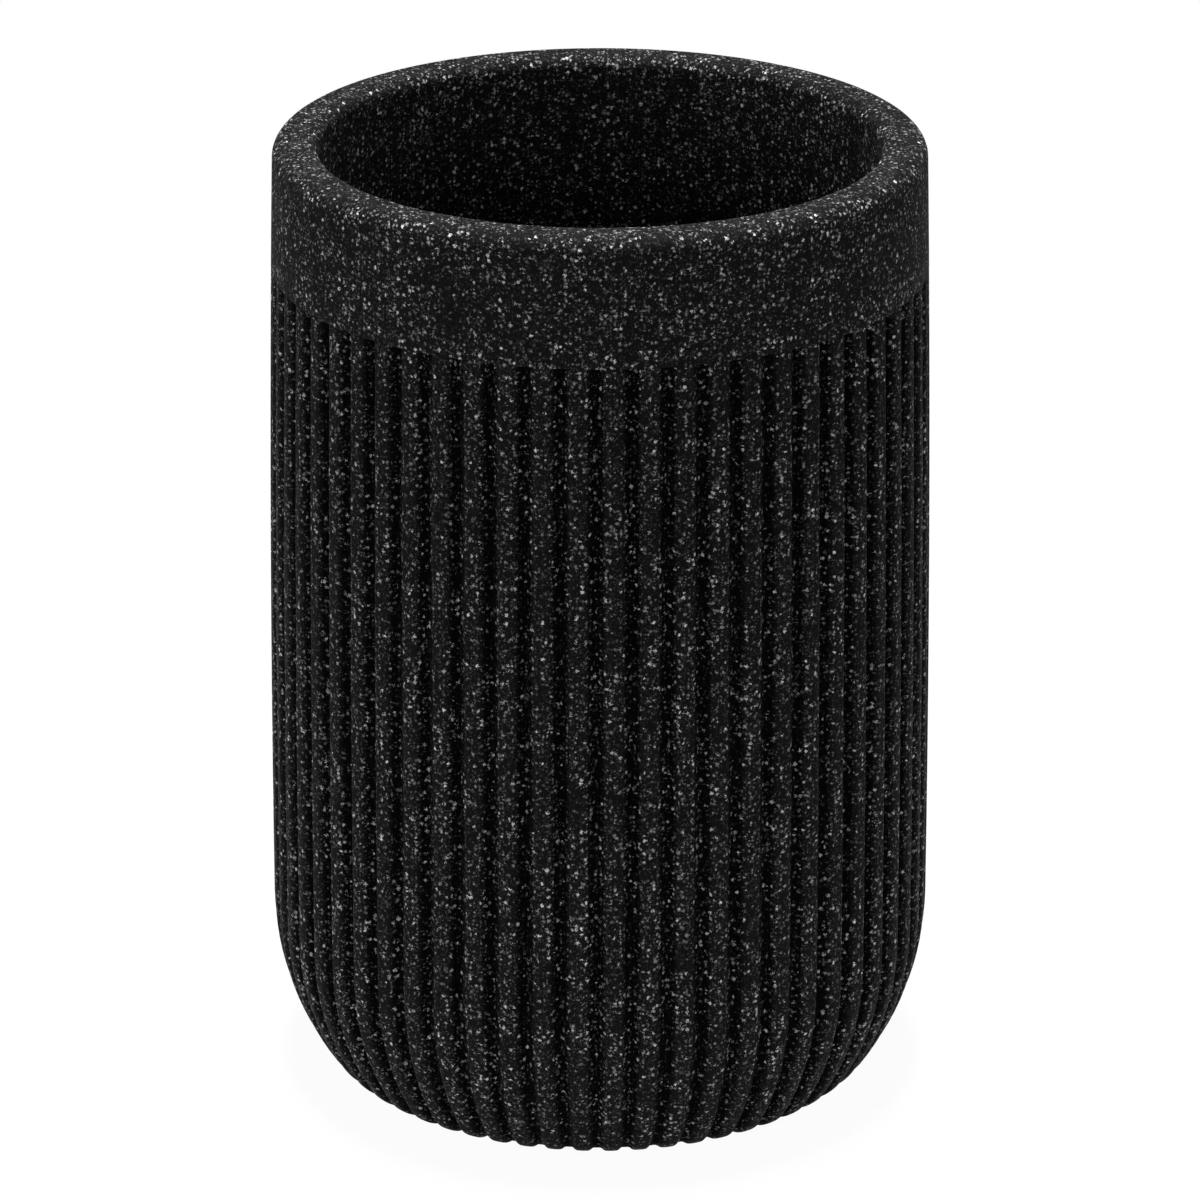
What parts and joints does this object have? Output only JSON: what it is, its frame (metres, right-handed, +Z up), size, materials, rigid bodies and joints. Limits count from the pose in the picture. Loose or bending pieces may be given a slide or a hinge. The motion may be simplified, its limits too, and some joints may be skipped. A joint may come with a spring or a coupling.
{
  "type": "bathroom tumbler",
  "caption": "Thick-walled stone-effect resin tumbler with a plain band under a rounded rim, reeds wrapping round the base, and a non-slip foam pad underneath.",
  "frame": {"origin": "centre of the underside of the pad, on the surface that the tumbler stands on", "axes": "+Z up along the axis of the cup, towards the mouth; X and Y are across the round body, which looks the same from all sides"},
  "size_m": [0.0748, 0.0748, 0.1094],
  "materials": {
    "speckled_resin": "matt cast resin, near black with fine white and grey specks",
    "pad_foam": "fine closed-cell foam, matt black",
    "adhesive_film": "cloudy acrylic adhesive film"
  },
  "bodies": {
    "root": {"cup_body": "speckled_resin", "base_pad": "pad_foam", "pad_adhesive_film": "adhesive_film"}
  },
  "joints": []
}
